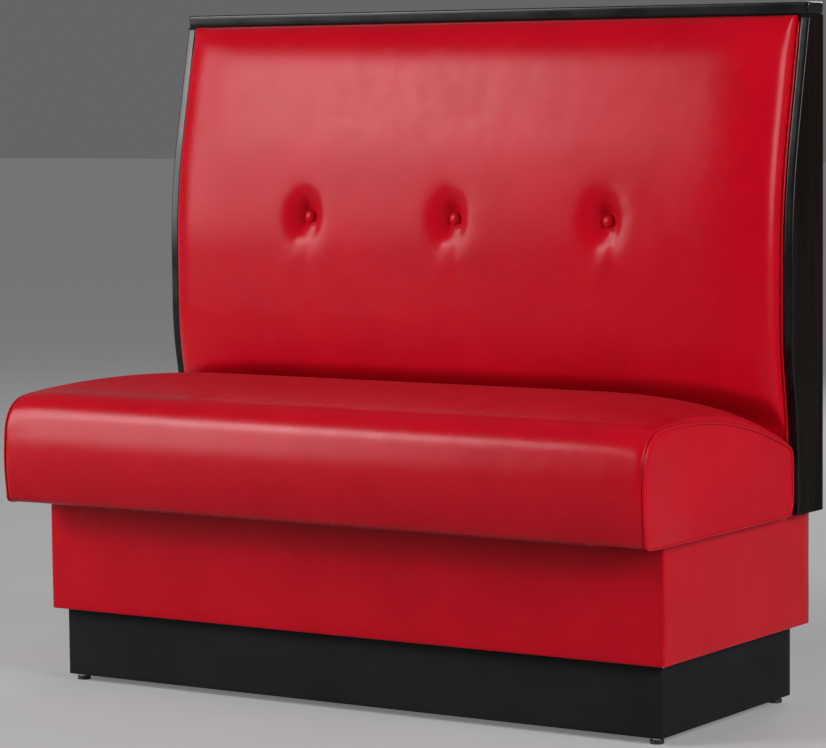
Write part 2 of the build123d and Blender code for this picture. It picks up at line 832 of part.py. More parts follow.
def trim():
    """End panels, cap and their edge mouldings."""
    return {
        "end_panel_left": end_panel(-1),
        "end_panel_right": end_panel(1),
        "end_panel_edging_left": panel_edging(-1),
        "end_panel_edging_right": panel_edging(1),
        "top_cap": top_cap(),
        "top_cap_edging": cap_edging(),
    }


os.makedirs("parts", exist_ok=True)
for group in (plinth(), base_box(), seat(), back(), trim(), fasteners()):
    for node, shape in group.items():
        export_step(shape, os.path.join("parts", node + ".step"))
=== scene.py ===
import json
import math

import bmesh
import bpy
import numpy as np
from mathutils import Matrix, Vector, noise


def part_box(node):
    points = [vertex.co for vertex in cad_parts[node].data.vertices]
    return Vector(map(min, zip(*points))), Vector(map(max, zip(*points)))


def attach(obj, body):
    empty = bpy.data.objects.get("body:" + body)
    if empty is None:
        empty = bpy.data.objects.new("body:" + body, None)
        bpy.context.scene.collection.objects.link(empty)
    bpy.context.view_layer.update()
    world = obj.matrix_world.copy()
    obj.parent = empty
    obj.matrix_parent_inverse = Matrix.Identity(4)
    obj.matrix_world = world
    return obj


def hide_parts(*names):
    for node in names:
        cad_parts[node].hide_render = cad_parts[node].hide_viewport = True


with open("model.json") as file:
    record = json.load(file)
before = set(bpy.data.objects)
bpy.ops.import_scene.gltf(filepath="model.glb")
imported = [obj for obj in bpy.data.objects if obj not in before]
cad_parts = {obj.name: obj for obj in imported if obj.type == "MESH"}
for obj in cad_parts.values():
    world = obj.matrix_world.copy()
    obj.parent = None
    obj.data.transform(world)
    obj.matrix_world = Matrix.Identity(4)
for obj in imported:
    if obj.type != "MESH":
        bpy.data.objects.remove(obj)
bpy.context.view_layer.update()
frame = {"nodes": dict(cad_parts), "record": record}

# The row frame, in metres: +X right, +Y rear, +Z up, origin on the floor. The seat and back are worked out in
# millimetres, as a depth forward of the rear plane and a height.
REAR = 0.279
BASE_TOP_MM = 297
PANEL_TOP_MM = 1053
BASE_TOP = BASE_TOP_MM / 1000
PANEL_TOP = PANEL_TOP_MM / 1000
SIDES = ((-1, "left"), (1, "right"))


# Materials


class Paint:
    """A node material with a Principled shader, and short calls for its textures."""

    def __init__(self, name, **sockets):
        self.mat = bpy.data.materials.new(name)
        self.mat.use_nodes = True
        self.tree = self.mat.node_tree
        self.tree.nodes.clear()
        out = self.tree.nodes.new("ShaderNodeOutputMaterial")
        self.bsdf = self.tree.nodes.new("ShaderNodeBsdfPrincipled")
        self.link(self.bsdf.outputs[0], out.inputs[0])
        self.place = self.tree.nodes.new("ShaderNodeTexCoord").outputs["Object"]
        for key, value in sockets.items():
            self.bsdf.inputs[key.replace("_", " ")].default_value = value

    def link(self, source, target):
        self.tree.links.new(source, target)

    def node(self, kind, inputs=(), **settings):
        n = self.tree.nodes.new("ShaderNode" + kind)
        for key, value in settings.items():
            setattr(n, key, value)
        for key, value in dict(inputs).items():
            if isinstance(value, bpy.types.NodeSocket):
                self.link(value, n.inputs[key])
            else:
                n.inputs[key].default_value = value
        return n

    def stretched(self, x, y, z):
        return self.node("Mapping", {"Vector": self.place, "Scale": (x, y, z)}).outputs[0]

    def noise(self, scale, detail=3, rough=0.5, warp=0, vector=None):
        inputs = {"Vector": vector or self.place, "Scale": scale, "Detail": detail, "Roughness": rough}
        inputs["Distortion"] = warp
        return self.node("TexNoise", inputs).outputs[0]

    def cells(self, scale, feature="F1"):
        inputs = {"Vector": self.place, "Scale": scale}
        return self.node("TexVoronoi", inputs, feature=feature).outputs["Distance"]

    def fit(self, value, low, high, to_low, to_high):
        inputs = {"Value": value, "From Min": low, "From Max": high, "To Min": to_low, "To Max": to_high}
        return self.node("MapRange", inputs).outputs[0]

    def spread(self, texture, to_low=0, to_high=1):
        """Takes the range that nearly all of a noise texture fills to another one."""
        return self.fit(texture, 0.3, 0.7, to_low, to_high)

    def math(self, operation, a, b):
        return self.node("Math", {0: a, 1: b}, operation=operation).outputs[0]

    def position(self, axis):
        """One coordinate of the place in the row frame, by its index."""
        return self.node("SeparateXYZ", {0: self.place}).outputs[axis]

    def blend(self, share, a, b):
        n = self.node("Mix", data_type="RGBA")
        for index, value in ((0, share), (6, a), (7, b)):
            if isinstance(value, bpy.types.NodeSocket):
                self.link(value, n.inputs[index])
            else:
                n.inputs[index].default_value = value if index == 0 else (*value, 1)
        return n.outputs[2]

    def finish(self, color, rough=None, bumps=()):
        """Links the colour, the roughness and a chain of bumps, each a height, a distance and a strength."""
        self.link(color, self.bsdf.inputs["Base Color"])
        if rough is not None:
            self.link(rough, self.bsdf.inputs["Roughness"])
        normal = None
        for height, distance, strength in bumps:
            inputs = {"Height": height, "Distance": distance, "Strength": strength}
            if normal is not None:
                inputs["Normal"] = normal
            normal = self.node("Bump", inputs).outputs[0]
        if normal is not None:
            self.link(normal, self.bsdf.inputs["Normal"])
        return self.mat


# The vinyl's lighter and deeper red, the painted shade in the pits of its grain, and the tint of its sheen
RED_LIGHT = (0.45, 0.0025, 0.0115)
RED_DEEP = (0.4, 0.0017, 0.009)
RED_PIT_SHADE = tuple(c * 0.45 for c in RED_DEEP)
RED_SHEEN = (1, 0.8, 0.84, 1)
# From the first of these places to the second, the seat's vinyl goes from glossy to worn dull
GLOSSY_Y, WORN_Y = -0.215, -0.12


def vinyl(name, gloss, sat_on=0.0):
    """Upholstery vinyl: a fine pebbled grain, soft mottling and a broad sheen, duller where people sit."""
    p = Paint(name, Specular_IOR_Level=gloss, Specular_Tint=RED_SHEEN)
    grain = p.cells(760, "SMOOTH_F1")
    fine = p.noise(1900, 2)
    cloudy = p.noise(9, 4, 0.55)
    color = p.blend(p.spread(cloudy), RED_DEEP, RED_LIGHT)
    # Darker colour in the pits of the grain, where the bump dips: painted shade
    color = p.blend(p.fit(grain, 0.1, 0.6, 0.16, 0), color, RED_PIT_SHADE)
    patchy = p.noise(34, 3, 0.6)
    roughness = p.math("ADD", p.spread(patchy, 0.215, 0.285), p.spread(fine, -0.02, 0.02))
    roughness = p.math("ADD", roughness, p.fit(p.position(1), GLOSSY_Y, WORN_Y, 0, sat_on))
    soft = p.noise(11, 2, 0.4)
    creased = p.noise(42, 4, 0.55, 0.6)
    bumps = [(soft, 0.004, 0.16), (creased, 0.0011, 0.2), (grain, 0.00022, 0.35), (fine, 0.00006, 0.3)]
    return p.finish(color, roughness, bumps)


def board_black(name):
    """Near-black brown melamine with a faint pressed wood grain."""
    p = Paint(name, Specular_IOR_Level=0.05)
    grain = p.noise(1, 5, 0.62, 0.6, p.stretched(260, 90, 4))
    color = p.blend(p.fit(grain, 0.35, 0.7, 0, 1), (0.0022, 0.0013, 0.001), (0.009, 0.0048, 0.003))
    rough = p.spread(grain, 0.5, 0.4)
    return p.finish(color, rough, [(grain, 0.0002, 0.3), (p.noise(900, 2), 0.00006, 0.3)])


def moulding(name):
    """Semi-gloss black edge moulding, with faint drawn lines and handling marks."""
    p = Paint(name, Specular_IOR_Level=0.22)
    lines = p.noise(1, 3, 0.5, 0, p.stretched(900, 900, 7))
    smear = p.noise(22, 4, 0.6)
    color = p.blend(p.spread(smear), (0.0025, 0.0025, 0.003), (0.006, 0.0055, 0.0065))
    return p.finish(color, p.spread(smear, 0.17, 0.27), [(lines, 0.0001, 0.3)])


def laminate(name):
    """Matt charcoal laminate with a fine stippled face and scuffs low down."""
    p = Paint(name, Specular_IOR_Level=0.06)
    stipple = p.noise(1300, 3, 0.6)
    cloudy = p.noise(7, 4, 0.6)
    low = p.fit(p.position(2), 0.012, 0.07, 1, 0)
    scuffs = p.fit(p.noise(1, 4, 0.7, 1.5, p.stretched(30, 30, 130)), 0.58, 0.72, 0, 1)
    worn = p.math("MULTIPLY", low, scuffs)
    color = p.blend(p.spread(cloudy), (0.008, 0.0076, 0.0092), (0.012, 0.0113, 0.0137))
    color = p.blend(p.math("MULTIPLY", worn, 0.35), color, (0.05, 0.047, 0.045))
    return p.finish(color, p.spread(stipple, 0.48, 0.62), [(stipple, 0.00012, 0.45)])


def plywood(name):
    """Bare birch plywood: long grain with a few knots."""
    p = Paint(name, Specular_IOR_Level=0.3)
    grain = p.noise(1, 5, 0.6, 1.2, p.stretched(9, 120, 120))
    knots = p.noise(11, 2, 0.4, 2)
    color = p.blend(p.spread(grain), (0.53, 0.35, 0.19), (0.71, 0.53, 0.33))
    color = p.blend(p.fit(knots, 0.66, 0.74, 0, 0.6), color, (0.32, 0.18, 0.09))
    return p.finish(color, p.spread(grain, 0.55, 0.7), [(grain, 0.0004, 0.3)])


def foam_paint(name):
    """Pale yellow foam with open cells."""
    p = Paint(name, Roughness=0.95, Specular_IOR_Level=0.2)
    open_cells = p.cells(520)
    color = p.blend(p.fit(open_cells, 0, 0.6, 0, 1), (0.55, 0.49, 0.28), (0.78, 0.72, 0.5))
    return p.finish(color, None, [(open_cells, 0.0008, 0.7)])


def zinc(name):
    """Zinc-plated steel with a spangle and fine turned lines."""
    p = Paint(name, Metallic=1)
    spangle = p.cells(240)
    lathe = p.noise(1, 2, 0.5, 0, p.stretched(20, 20, 2600))
    color = p.blend(p.fit(spangle, 0, 0.7, 0, 1), (0.44, 0.44, 0.43), (0.62, 0.62, 0.6))
    return p.finish(color, p.fit(spangle, 0, 0.7, 0.3, 0.45), [(lathe, 0.00008, 0.4)])


def nylon(name):
    """Black moulded plastic, speckled and a little dusty."""
    p = Paint(name, Specular_IOR_Level=0.4)
    speckle = p.noise(1500, 2)
    dusty = p.noise(60, 3)
    color = p.blend(p.spread(dusty), (0.006, 0.006, 0.0065), (0.02, 0.019, 0.018))
    return p.finish(color, p.spread(speckle, 0.45, 0.6), [(speckle, 0.00008, 0.4)])


def twine_paint(name):
    """Natural twine with the lines of its plies."""
    p = Paint(name, Roughness=0.8)
    inputs = {"Vector": p.stretched(600, 900, 900), "Scale": 1}
    ply = p.node("TexWave", inputs, bands_direction="DIAGONAL").outputs[1]
    color = p.blend(ply, (0.33, 0.28, 0.19), (0.6, 0.54, 0.4))
    return p.finish(color, None, [(ply, 0.0003, 0.6)])


# One paint for each slot, and one more for the seat cushion, which is glossier at its front and duller on top
PAINTS = {
    "red_vinyl": vinyl("red_vinyl", 0.12),
    "seat_vinyl": vinyl("seat_vinyl", 0.19, sat_on=0.35),
    "black_board": board_black("black_board"),
    "edge_moulding": moulding("edge_moulding"),
    "plinth_laminate": laminate("plinth_laminate"),
    "plywood": plywood("plywood"),
    "foam": foam_paint("foam"),
    "zinc_steel": zinc("zinc_steel"),
    "glide_plastic": nylon("glide_plastic"),
    "twine": twine_paint("twine"),
}
for entry in frame["record"]["subparts"]:
    for holder in frame["nodes"][entry["node"]].material_slots:
        holder.link = "OBJECT"
        holder.material = PAINTS[entry["material_slot"]]


# Mesh helpers


def make(name, points, faces, slot, body="booth", replaces=(), paint=None):
    """A mesh piece that rides on a body, and stands for the CAD nodes that it replaces."""
    mesh = bpy.data.meshes.new(name)
    mesh.from_pydata([tuple(map(float, p)) for p in points], [], faces)
    mesh.validate()
    obj = bpy.data.objects.new(name, mesh)
    bpy.context.collection.objects.link(obj)
    mesh.materials.append(PAINTS[paint or slot])
    mesh.polygons.foreach_set("use_smooth", [True] * len(mesh.polygons))
    tidy = bmesh.new()
    tidy.from_mesh(mesh)
    bmesh.ops.recalc_face_normals(tidy, faces=tidy.faces)
    tidy.to_mesh(mesh)
    tidy.free()
    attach(obj, body)
    if replaces:
        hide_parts(*replaces)
    return obj


def bridge(start_a, start_b, count):
    """Quads between two closed rows of count points that start at these indices."""
    ahead = [(j + 1) % count for j in range(count)]
    return [(start_a + j, start_a + ahead[j], start_b + ahead[j], start_b + j) for j in range(count)]


def loops_mesh(loops, ring=False):
    """Points and faces of closed loops set one after another: a ring, or a bar with a fan at each end."""
    count = len(loops[0])
    points = [p for loop in loops for p in loop]
    faces = []
    for i in range(len(loops) if ring else len(loops) - 1):
        faces += bridge(i * count, (i + 1) % len(loops) * count, count)
    if ring:
        return points, faces
    for first, flip in ((0, True), ((len(loops) - 1) * count, False)):
        points.append(tuple(np.mean(np.array(points[first : first + count]), axis=0)))
        middle = len(points) - 1
        for j in range(count):
            a, b = first + j, first + (j + 1) % count
            faces.append((b, a, middle) if flip else (a, b, middle))
    return points, faces


def arc(p, q, r, count):
    """count points from p up to, and not including, r, on the circle through p, q and r."""
    (ax, ay), (bx, by), (cx, cy) = p, q, r
    d = 2 * (ax * (by - cy) + bx * (cy - ay) + cx * (ay - by))
    if abs(d) < 1e-12:
        return [(ax + (cx - ax) * i / count, ay + (cy - ay) * i / count) for i in range(count)]
    aa, bb, cc = ax**2 + ay**2, bx**2 + by**2, cx**2 + cy**2
    ux = (aa * (by - cy) + bb * (cy - ay) + cc * (ay - by)) / d
    uy = (aa * (cx - bx) + bb * (ax - cx) + cc * (bx - ax)) / d
    start = math.atan2(ay - uy, ax - ux)
    turn = (math.atan2(cy - uy, cx - ux) - start) % (2 * math.pi)
    if (math.atan2(by - uy, bx - ux) - start) % (2 * math.pi) > turn:
        turn -= 2 * math.pi
    radius = math.hypot(ax - ux, ay - uy)
    angles = [start + turn * i / count for i in range(count)]
    return [(ux + radius * math.cos(a), uy + radius * math.sin(a)) for a in angles]


def blur(ring, times):
    """Evens out a closed row of points or numbers a little."""
    for _ in range(times):
        ring = (np.roll(ring, 1, 0) + 2 * ring + np.roll(ring, -1, 0)) / 4
    return ring


def unit(vector):
    return vector / np.linalg.norm(vector)


def between(low, high, share):
    return low + (high - low) * share


def smooth_step(t):
    t = min(max(t, 0.0), 1.0)
    return t * t * (3 - 2 * t)


# How much a cord's radius varies and how quickly, and a direction that no cord starts along
CORD_WOBBLE, CORD_WOBBLE_SCALE = 0.03, 60
NOT_ALONG = (0.31, 0.17, 0.93)


def tube(path, radius, sides, closed=False):
    """Loops of points round a path, for covered cord that is never quite even."""
    path = np.array(path, float)
    count = len(path)
    loops = []
    normal = None
    for i in range(count):
        ahead = path[(i + 1) % count] if closed or i + 1 < count else path[i]
        behind = path[i - 1] if closed or i > 0 else path[i]
        along = unit(ahead - behind)
        if normal is None:
            normal = np.cross(along, NOT_ALONG)
        normal = unit(normal - along * np.dot(normal, along))
        other = np.cross(along, normal)
        r = radius * (1 + CORD_WOBBLE * noise.noise(Vector(path[i]) * CORD_WOBBLE_SCALE))
        turn = [2 * math.pi * k / sides for k in range(sides)]
        loops.append([tuple(path[i] + r * (math.cos(a) * normal + math.sin(a) * other)) for a in turn])
    return loops


# Seat cushion: one cross-section in depth and height, which changes from the seat's ends to its middle

# Half length at the seam, depth of the rear face, and radius of the front's lower corner
SEAT_X, SEAT_REAR, SEAT_CORNER = 574.0, 88.0, 9
# At the seat's ends and in its middle: depths of the foot and of the front's fullest line
FOOT_DEPTH, BULGE_DEPTH = (551, 544), (557, 558)
# Heights of the front, the crown and the rear edge, at the ends and in the middle
FRONT_HEIGHT, CROWN_HEIGHT, REAR_HEIGHT = (112, 128), (175, 198), (112, 150)
# How far the top falls towards the front, and how much of the crown its middle keeps, at the ends and in the middle
TOP_DROP, CROWN_KEPT = (0.05, 0.3), (0.86, 1)
# Shares that place the fullest line up the front, the shoulder out to it, and the nose between shoulder and top
BULGE_UP, SHOULDER_OUT, NOSE_OUT, NOSE_UP = 0.64, 0.6, 0.8, 0.62
# Shares of the length taken by the top's roll to the front and by the rear roll, and where the rear roll turns
TOP_ROLL, REAR_ROLL, ROLL_BACK, ROLL_DOWN = 0.115, 0.045, 0.25, 0.35
# The share of the half length over which the top and the front keep their full height, and how they fall from there
TOP_FLAT, FRONT_FLAT, CROWN_FALL = 0.6, 0.8, 0.58
# Points along the foot, along each arc from the front's lower corner to the rear roll, and down the rear
FOOT_COUNT, ARC_COUNTS, REAR_COUNT = 26, (4, 26, 18, 44, 8), 10
# Rounds of evening out: of the outline, of the draw's weights, and of the outline that gives the normals
LOOP_BLUR, DRAW_BLUR, NORMAL_BLUR = 5, 8, 10
# The most that the evened foot may rise, and the share of the draw that it takes
FOOT_LIFT, FOOT_DRAW_SHARE = 0.4, 0.3
# Stations from the middle outward (start, end, spacing), then the rounding into the seam, at every so many degrees
SEAT_SPANS = ((0, 440, 9.0), (440, 530, 6.0), (530, 563, 3.0))
END_START, END_ROUND, END_DRAW, END_DEGREES = 566, 10, 3.8, 13
# (x, draw) of the last stations, from the seam onto the end panel
SEAT_EDGE = [(576.2, 4.4), (576.9, 5.4), (578.0, 6.4), (579.1, 7.6), (580.0, 10.0), (580.3, 15.0)]
# The end panel: its outermost and innermost rings as shares of its rim, their number, and its fullness in metres
PANEL_OUTER, PANEL_INNER, PANEL_RINGS, END_FULLNESS = 0.93, 0.06, 15, 0.0026
# The seam's station, and the cord's x, radius in metres and sides
SEAM_X, SEAM_DRAW = 574, 4.4
SEAT_CORD_X, SEAT_CORD_RADIUS, SEAT_CORD_SIDES = 578.6, 0.0024, 10


def crown_weight(share, flat):
    """How much of the crown is left at this share of the half length: 1 over the flat, 0 at the end."""
    if share <= flat:
        return 1.0
    fall = min((share - flat) / (1 - flat), 1.0)
    return (1 - fall * fall) ** CROWN_FALL


def seat_loop(top, front):
    """The closed outline of one station of the seat, from the rear foot forward and over the top."""
    foot = between(*FOOT_DEPTH, front)
    bulge = between(*BULGE_DEPTH, front)
    front_height = between(*FRONT_HEIGHT, front)
    crown = between(*CROWN_HEIGHT, top)
    rear_height = between(*REAR_HEIGHT, top)
    length = foot - SEAT_REAR
    shoulder = between(foot, bulge, SHOULDER_OUT)
    top_front = foot - TOP_ROLL * length
    top_height = crown - between(*TOP_DROP, top) * (crown - front_height)
    nose_depth, nose_height = between(top_front, shoulder, NOSE_OUT), between(front_height, top_height, NOSE_UP)
    roll = REAR_ROLL * length
    bend = SEAT_CORNER * (1 - math.sqrt(0.5))
    places = [
        (foot - SEAT_CORNER, 0), (foot - bend, bend), (foot, SEAT_CORNER),
        (bulge, BULGE_UP * front_height), (shoulder, front_height),
        (nose_depth, nose_height), (top_front, top_height),
        ((SEAT_REAR + foot) / 2, between(rear_height, crown, between(*CROWN_KEPT, top))),
        (SEAT_REAR + roll, rear_height),
        (SEAT_REAR + ROLL_BACK * roll, rear_height - ROLL_DOWN * roll), (SEAT_REAR, rear_height - roll),
    ]
    run = foot - SEAT_CORNER - SEAT_REAR
    points = [(SEAT_REAR + run * i / FOOT_COUNT, 0.0) for i in range(FOOT_COUNT)]
    for k, count in enumerate(ARC_COUNTS):
        points += arc(*places[2 * k : 2 * k + 3], count)
    points += [(SEAT_REAR, (rear_height - roll) * (1 - i / REAR_COUNT)) for i in range(REAR_COUNT)]
    loop = blur(np.array(points), LOOP_BLUR)
    flat = slice(0, FOOT_COUNT - 2)
    loop[flat, 1] = np.minimum(loop[flat, 1], FOOT_LIFT)
    return loop


def outward(loop):
    """Outward normals of a closed loop that runs anticlockwise in (depth, height)."""
    ahead = np.roll(loop, -1, 0) - np.roll(loop, 1, 0)
    normal = np.stack([ahead[:, 1], -ahead[:, 0]], 1)
    return normal / np.linalg.norm(normal, axis=1, keepdims=True)


def draw_weights(count):
    """How much of the end's inset each point of the loop takes: little along the foot."""
    weights = np.ones(count)
    weights[: FOOT_COUNT + ARC_COUNTS[0]] = FOOT_DRAW_SHARE
    return blur(weights, DRAW_BLUR)


def seat_station(x, draw):
    """The loop at this x, in millimetres, with its outline drawn in."""
    share = min(abs(x) / SEAT_X, 1.0)
    loop = seat_loop(crown_weight(share, TOP_FLAT), crown_weight(share, FRONT_FLAT))
    if draw:
        loop = loop - outward(blur(loop, NORMAL_BLUR)) * (draw * draw_weights(len(loop)))[:, None]
    return loop


def seat_points(x, loop):
    return [(x / 1000, REAR - d / 1000, BASE_TOP + h / 1000) for d, h in loop]


def seat_half_stations():
    """(x, draw) from the middle of the seat out to the seam round its end."""
    stations = [(x, 0.0) for span in SEAT_SPANS for x in np.arange(*span)]
    for degrees in range(0, 91, END_DEGREES):
        a = math.radians(degrees)
        stations.append((END_START + END_ROUND * math.sin(a), END_DRAW * (1 - math.cos(a))))
    return stations


def seat_cushion():
    """The top and front panel with its seams, and a slightly full panel on each end."""
    right = [seat_points(x, seat_station(x, draw)) for x, draw in seat_half_stations() + SEAT_EDGE]
    rim = np.array(right[-1])
    centre = rim.mean(0)
    for t in np.linspace(PANEL_OUTER, PANEL_INNER, PANEL_RINGS):
        ring = centre + (rim - centre) * t
        ring[:, 0] = rim[:, 0] + END_FULLNESS * (1 - t**2)
        right.append([tuple(p) for p in ring])
    left = [[(-x, y, z) for x, y, z in loop] for loop in right[1:]]
    return loops_mesh(left[::-1] + right)


def seat_cord(side, name):
    """Covered cord sewn into the seam round an end panel."""
    path = seat_points(side * SEAT_CORD_X, seat_station(SEAM_X, SEAM_DRAW))
    points, faces = loops_mesh(tube(path, SEAT_CORD_RADIUS, SEAT_CORD_SIDES, closed=True), ring=True)
    make("seat_cord_" + name, points, faces, "red_vinyl", replaces=["seat_welt_" + name])


points, faces = seat_cushion()
seat = make("seat_cushion", points, faces, "red_vinyl", replaces=["seat_cover", "seat_foam"], paint="seat_vinyl")
for side, name in SIDES:
    seat_cord(side, name)


# Back cushion, set against the bowed front edge of the end panels

# Corners of that edge in (depth, height), and the radii that round the inner three
BOW = ((84, 287.0), (84, 435.3), (103.5, 539.7), (103.5, 776.3), (38.7, 1083.0))
BOW_RADII = (539.0, 539.0, 926.0)
# Points on each rounding, and the spacing and rounds of evening out of the table
BOW_ARC_COUNT, BOW_STEP, BOW_BLUR = 16, 2.0, 6


def bow_table():
    """Points and outward normals up the bow, in (depth, height), at an even spacing."""
    pts = [np.array(p) for p in BOW]
    line = [pts[0]]
    for k, radius in enumerate(BOW_RADII, 1):
        before, after = unit(pts[k - 1] - pts[k]), unit(pts[k + 1] - pts[k])
        turn = math.pi - math.acos(float(np.clip(before @ after, -1, 1)))
        reach = radius * math.tan(turn / 2)
        start, end = pts[k] + before * reach, pts[k] + after * reach
        bisect = unit(before + after)
        centre = pts[k] + bisect * math.hypot(radius, reach)
        middle = centre - bisect * radius
        line += [np.array(p) for p in arc(tuple(start), tuple(middle), tuple(end), BOW_ARC_COUNT)] + [end]
    line.append(pts[-1])
    line = np.array(line)
    run = np.concatenate([[0], np.cumsum(np.linalg.norm(np.diff(line, axis=0), axis=1))])
    even = np.arange(0, run[-1], BOW_STEP)
    table = np.stack([np.interp(even, run, line[:, k]) for k in (0, 1)], 1)
    for _ in range(BOW_BLUR):
        table[1:-1] = (table[:-2] + 2 * table[1:-1] + table[2:]) / 4
    along = np.gradient(table, axis=0)
    along /= np.linalg.norm(along, axis=1, keepdims=True)
    return table, np.stack([along[:, 1], -along[:, 0]], 1)


BOW_LINE, BOW_NORMAL = bow_table()


def behind_bow(height, setback):
    """Depth of the place at this height that lies this far behind the bow."""
    start = height
    for _ in range(3):
        start = height + np.interp(start, BOW_LINE[:, 1], BOW_NORMAL[:, 1]) * setback
    at = np.interp(start, BOW_LINE[:, 1], BOW_LINE[:, 0])
    return at - np.interp(start, BOW_LINE[:, 1], BOW_NORMAL[:, 0]) * setback


# The middle of each button in x and z, and its rear in y
BUTTONS = {}
for name in ("left", "middle", "right"):
    low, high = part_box("back_button_" + name)
    BUTTONS[name] = ((low[0] + high[0]) / 2, high[1], (low[2] + high[2]) / 2)

# Folds that run out from each button: start x and z, heading in degrees, width, length and rise
FOLDS = {
    "left": ((-3, 9, 128, 9, 60, 0.7), (8, 4, 24, 9, 55, 0.6)),
    "middle": ((3, 9, 74, 9, 60, 0.7), (9, 2, 8, 9, 55, 0.6)),
    "right": ((-5, 8, 140, 9, 60, 0.7), (8, 5, 40, 9, 55, 0.6)),
}
# The pleat below each button, in the same order
PLEATS = {
    "left": (9, -5, -112, 9.0, 19, 8.2),
    "middle": (8, -5, -106, 9.5, 20, 7.8),
    "right": (8, -5, -99, 9.0, 20, 8.4),
}
# The dimple under a button: its depth, its reach, the radius that is at full depth, and where it is left out
TUFT_DEPTH, TUFT_REACH, TUFT_FULL, TUFT_LIMIT = 20.5, 22.0, 7, 170
# It is narrower across and longer up and down; this is how it falls off, and how much steeper at its lower right
TUFT_ACROSS, TUFT_UP, TUFT_POWER = 1.15, 0.88, 1.6
TUFT_STEEP, TUFT_STEEP_TURN = 0.1, math.radians(35)
# How far out a fold or pleat takes to rise
FOLD_START, PLEAT_START = 16, 7


def from_line(dx, dz, start_x, start_z, heading):
    """Distances along and across a line that starts beside a button, of a place beside that button."""
    turn = math.radians(heading)
    ax, az = dx - start_x, dz - start_z
    return ax * math.cos(turn) + az * math.sin(turn), az * math.cos(turn) - ax * math.sin(turn)


def tuft_set(x, z):
    """How far the buttons pull the cushion in at this place, in millimetres."""
    total = 0.0
    for name, (button_x, _, button_z) in BUTTONS.items():
        dx, dz = x - button_x * 1000, z - button_z * 1000
        r = math.hypot(dx * TUFT_ACROSS, dz * TUFT_UP)
        if r > TUFT_LIMIT:
            continue
        tight = 1 - TUFT_STEEP * max(math.cos(math.atan2(dz, dx) + TUFT_STEEP_TURN), 0) ** 1.5
        total += TUFT_DEPTH * math.exp(-((max(r - TUFT_FULL, 0) / (TUFT_REACH * tight)) ** TUFT_POWER))
        for *line, width, length, rise in FOLDS[name]:
            along, across = from_line(dx, dz, *line)
            if along > 0:
                grow = min(along / FOLD_START, 1) ** 2 * math.exp(-1.6 * (along / length) ** 2)
                wide = width * (0.7 + 0.6 * along / length)
                total -= rise * grow * math.exp(-((across / wide) ** 2))
        *line, width, length, rise = PLEATS[name]
        along, across = from_line(dx, dz, *line)
        if along > 0:
            grow = min(along / PLEAT_START, 1) * math.exp(-max(along - PLEAT_START, 0) / length)
            wide = width * (0.8 + along / 90)
            total -= rise * grow * math.exp(-((abs(across) / wide) ** 2.2))
    return total


def seat_rear_top(x):
    """Height of the seat's rear edge at this x, in millimetres from the floor."""
    return BASE_TOP_MM + between(*REAR_HEIGHT, crown_weight(min(abs(x) / SEAT_X, 1), TOP_FLAT))


# The cushion's face: its edges, how far behind the bow it starts, and how far it swells forward from there
PAD_HALF, PAD_LOW, PAD_HIGH = 562.4, 300.0, 1051.8
PAD_SIDE_SET, PAD_SWELL, PAD_SIDE_FALL = 3.0, 45.5, 0.04
# The widths over which it rounds off at the sides and the top, and how quickly
PAD_SIDE_ROUND, PAD_TOP_ROUND = 130.0, 92.0
PAD_SIDE_POWER, PAD_TOP_POWER, PAD_ROUND_POWER = 0.36, 0.34, 2.6
# The reach and fullness of its upper corners, and the tuck behind the seat with its start below the seat's edge
PAD_CORNER, PAD_CORNER_LIFT = 26, 9
PAD_TUCK, PAD_TUCK_BELOW = 62, 6
# Columns out to a side's rounding, rows up to the top's, and lines over a rounding with how they crowd to its edge
PAD_COLUMNS, PAD_ROWS, PAD_EDGE_LINES, PAD_CROWDING = 92, 140, 30, 1.2
# How far its sides run back behind the bow
PAD_DEEP = 29.7
# The cord's start, end and spacing in height, its setback, its x and radius in metres, and its sides
BACK_CORD_SPAN, BACK_CORD_SET = (301, 1051, 7.5), 2.4
BACK_CORD_X, BACK_CORD_RADIUS, BACK_CORD_SIDES = 0.5652, 0.0025, 12


def rounded(share, power):
    """How much of the swell is left at this share of a rounding: none at 0, and all from 1 on."""
    return max(1 - (1 - share) ** PAD_ROUND_POWER, 0) ** power if share < 1 else 1.0


def pad_set(x, z):
    """Setback of the cushion's face from the bow at this place, before its tufts."""
    beside, above = PAD_HALF - abs(x), PAD_HIGH - z
    swell = PAD_SWELL * (1 - PAD_SIDE_FALL * (x / PAD_HALF) ** 2)
    swell *= rounded(beside / PAD_SIDE_ROUND, PAD_SIDE_POWER)
    swell *= rounded(above / PAD_TOP_ROUND, PAD_TOP_POWER)
    corner = max(1 - beside / PAD_CORNER, 0) * max(1 - above / PAD_CORNER, 0)
    tucked = smooth_step((z - seat_rear_top(x) + PAD_TUCK_BELOW) / PAD_TUCK)
    return PAD_SIDE_SET - PAD_CORNER_LIFT * corner - swell * tucked


